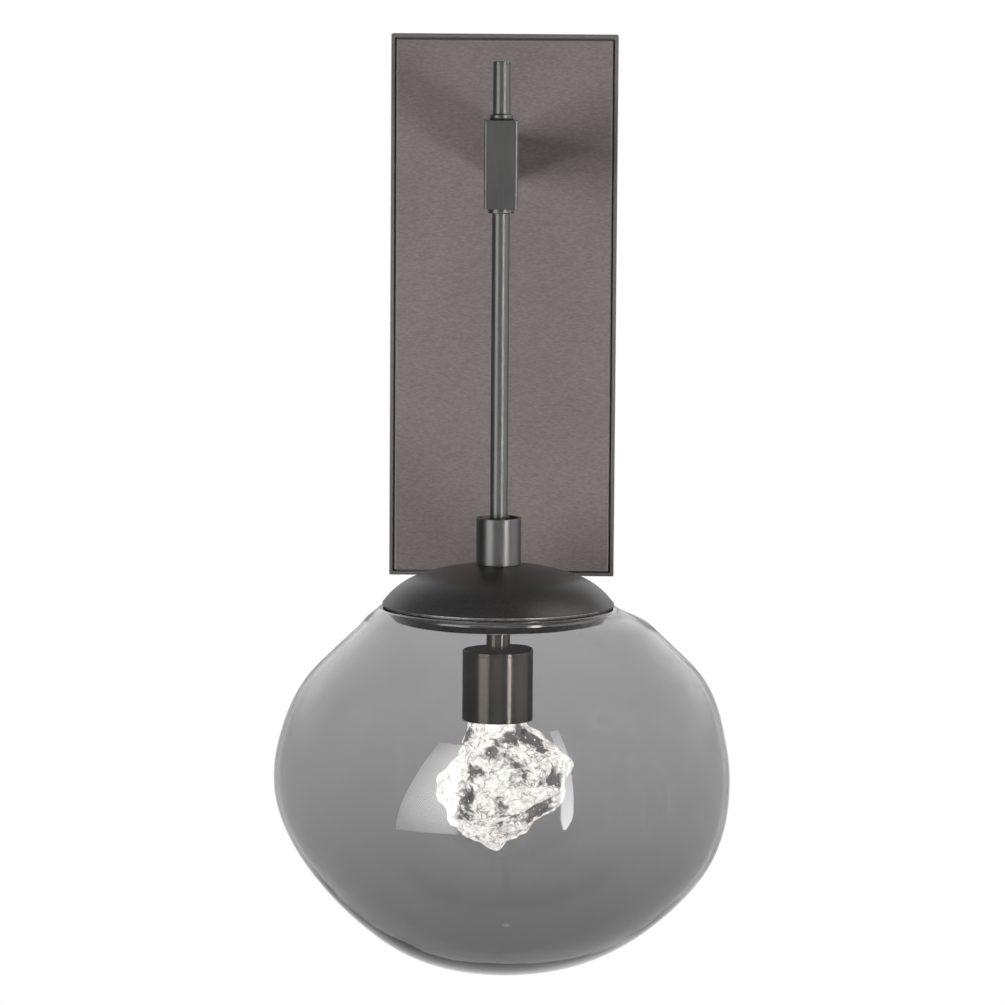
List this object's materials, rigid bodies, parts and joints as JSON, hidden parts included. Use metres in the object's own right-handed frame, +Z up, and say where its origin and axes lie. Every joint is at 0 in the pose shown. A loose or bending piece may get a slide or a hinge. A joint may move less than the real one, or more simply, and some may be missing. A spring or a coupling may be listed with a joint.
{
  "type": "wall sconce",
  "caption": "Wall sconce: tall plate, flat arm and block carry a slim rod with a domed cap, a smoked blown glass globe and a lumpy cast crystal lamp.",
  "frame": {"origin": "middle of the wall plate on the wall plane, midway between the strap's two outlet box slots", "axes": "+Z up, +Y into the wall so the front faces -Y, +X to the right seen from the front"},
  "size_m": [0.2481, 0.262, 0.5062],
  "materials": {
    "plate_bronze": "satin bronze grey",
    "gunmetal": "dark satin",
    "cap_metal": "dark polished",
    "socket_bronze": "dark bronze",
    "zinc": "zinc plated",
    "brass": "bright",
    "black_nylon": "matte",
    "soft_seal": "matte",
    "phenolic": "matte",
    "smoke_glass": "clear smoked",
    "crystal": "cast crystal",
    "led_white": "lit",
    "earth_green": "green"
  },
  "bodies": {
    "bracket": {"tray_rim": "plate_bronze", "tray_floor": "plate_bronze", "face_plate": "plate_bronze", "face_studs": "zinc", "face_nuts": "zinc", "mounting_strap": "zinc", "ground_screw": "earth_green", "tray_side_screws": "gunmetal", "arm_bar": "gunmetal", "arm_nipple": "zinc", "arm_washer": "zinc", "arm_locknut": "zinc", "clamp_block": "gunmetal", "rod_bush": "gunmetal", "rod_set_screw": "zinc"},
    "hanger": {"rod_tube": "gunmetal", "rod_end_plug": "gunmetal", "stop_collar": "gunmetal", "collar_washer": "black_nylon", "collar_grub_screw": "zinc", "coupling": "gunmetal", "fixture_nipple": "zinc", "dome_cap": "cap_metal", "rim_gasket": "soft_seal", "cap_spacer": "zinc", "glass_fitter": "cap_metal", "retaining_ring": "zinc", "fitter_nut": "zinc", "socket_stem": "gunmetal", "socket_lid": "socket_bronze", "socket_nut": "zinc", "socket_cup": "socket_bronze", "lampholder_body": "phenolic", "lampholder_screws": "zinc", "screw_shell": "brass", "centre_contact": "brass"},
    "globe": {"glass_globe": "smoke_glass"},
    "lamp": {"lamp_contact": "brass", "lamp_insulator": "phenolic", "lamp_shell": "brass", "led_core": "led_white", "crystal_bulb": "crystal"}
  },
  "joints": [
    {"name": "rod_height", "type": "slide", "parent": "bracket", "child": "hanger", "axis": [0, 0, 1], "range_m": [0, 0.015]},
    {"name": "globe_drop", "type": "slide", "parent": "hanger", "child": "globe", "axis": [0, 0, -1], "range_m": [0, 0.14], "deforming": ["retaining_ring"]},
    {"name": "lamp_turn", "type": "hinge", "parent": "hanger", "child": "lamp", "pos_m": [0, -0.138, -0.25], "axis": [0, 0, -1], "range_deg": [0, 1260]}
  ]
}
